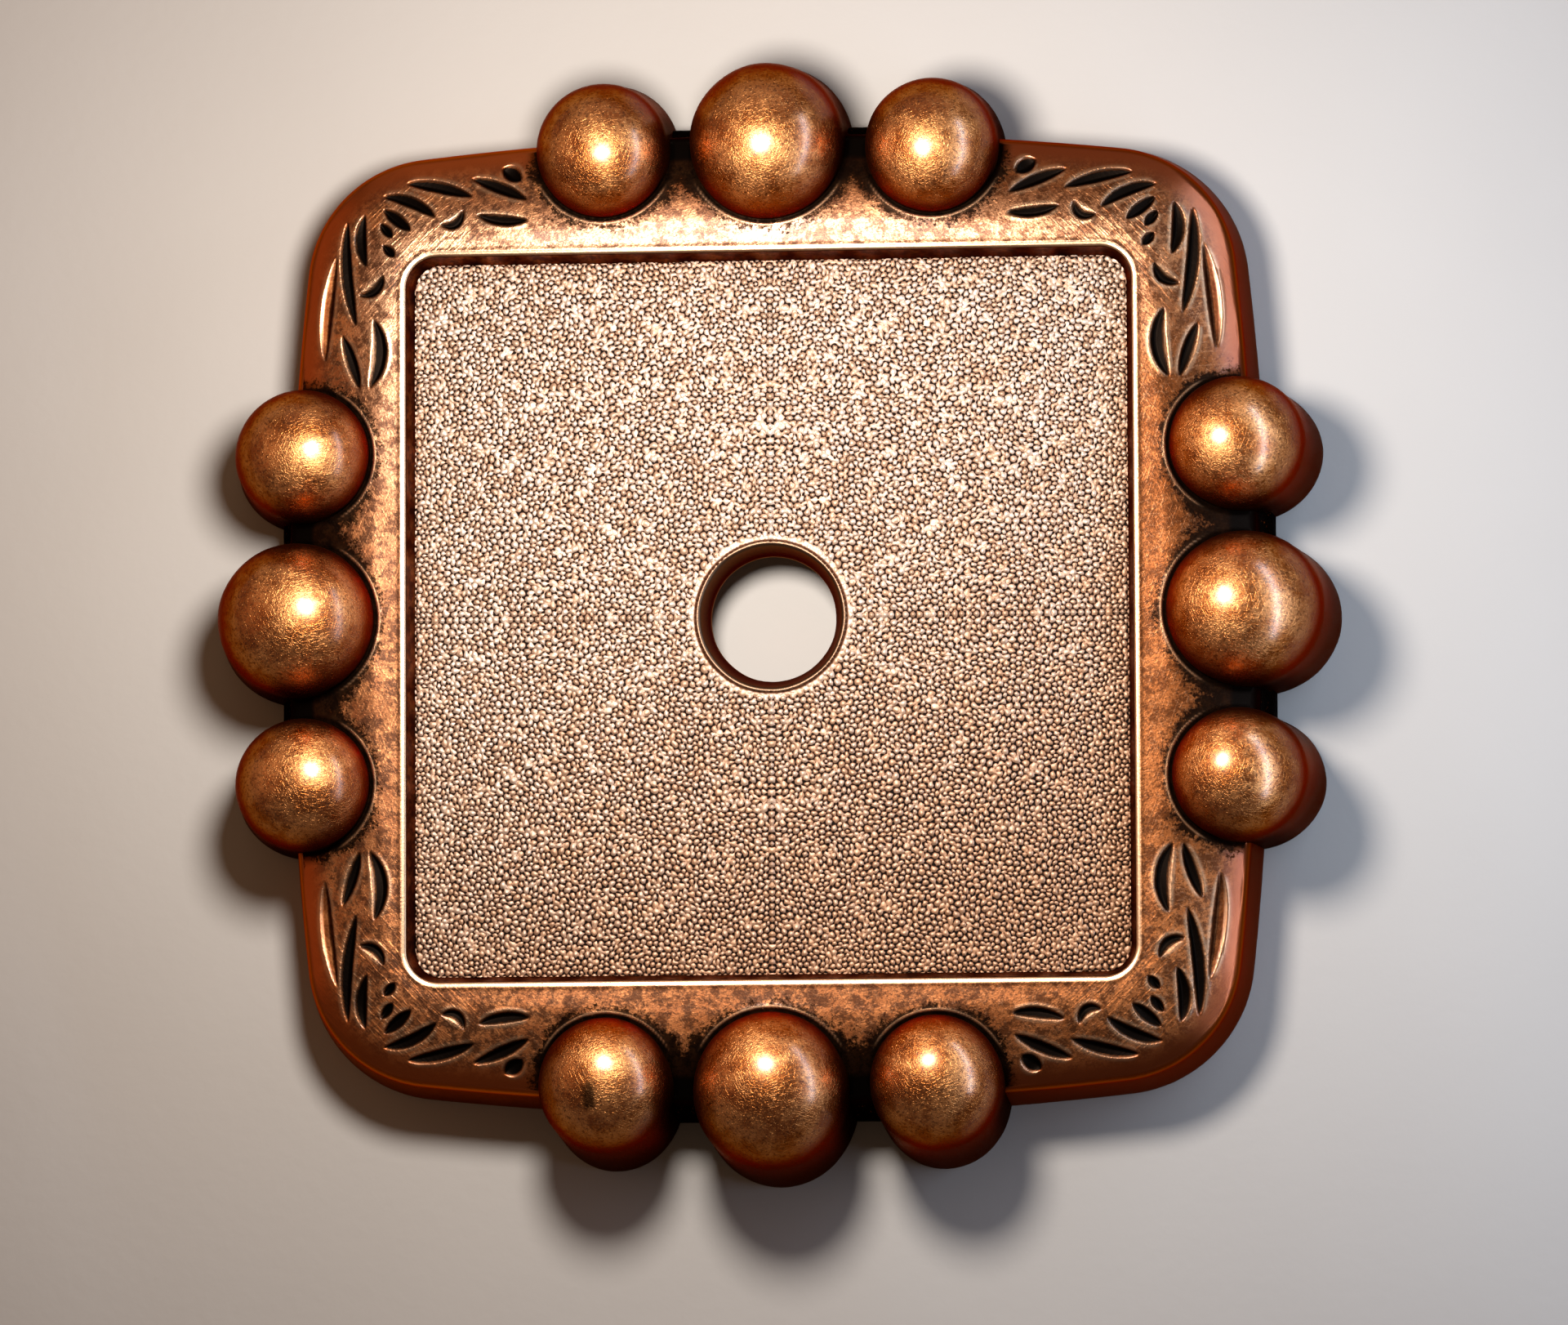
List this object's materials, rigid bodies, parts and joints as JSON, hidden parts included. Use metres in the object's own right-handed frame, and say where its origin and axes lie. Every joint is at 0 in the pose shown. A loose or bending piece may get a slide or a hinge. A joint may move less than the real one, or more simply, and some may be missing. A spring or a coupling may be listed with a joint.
{
  "type": "concho",
  "caption": "Square cushion-shaped cast concho with round berries along each side, leaf cuts in its corners, a sunken grainy centre and a plain screw hole.",
  "frame": {"origin": "centre of the screw hole, on the plane that the back rests on", "axes": "+Z out of the face along the screw hole, +X and +Y square to its sides, to the picture's right and up"},
  "size_m": [0.038, 0.038, 0.0063],
  "materials": {
    "antique_copper": "antique copper plating, worn bright on what stands out and brown-black in the cuts"
  },
  "bodies": {
    "root": {"concho": "antique_copper"}
  },
  "joints": []
}
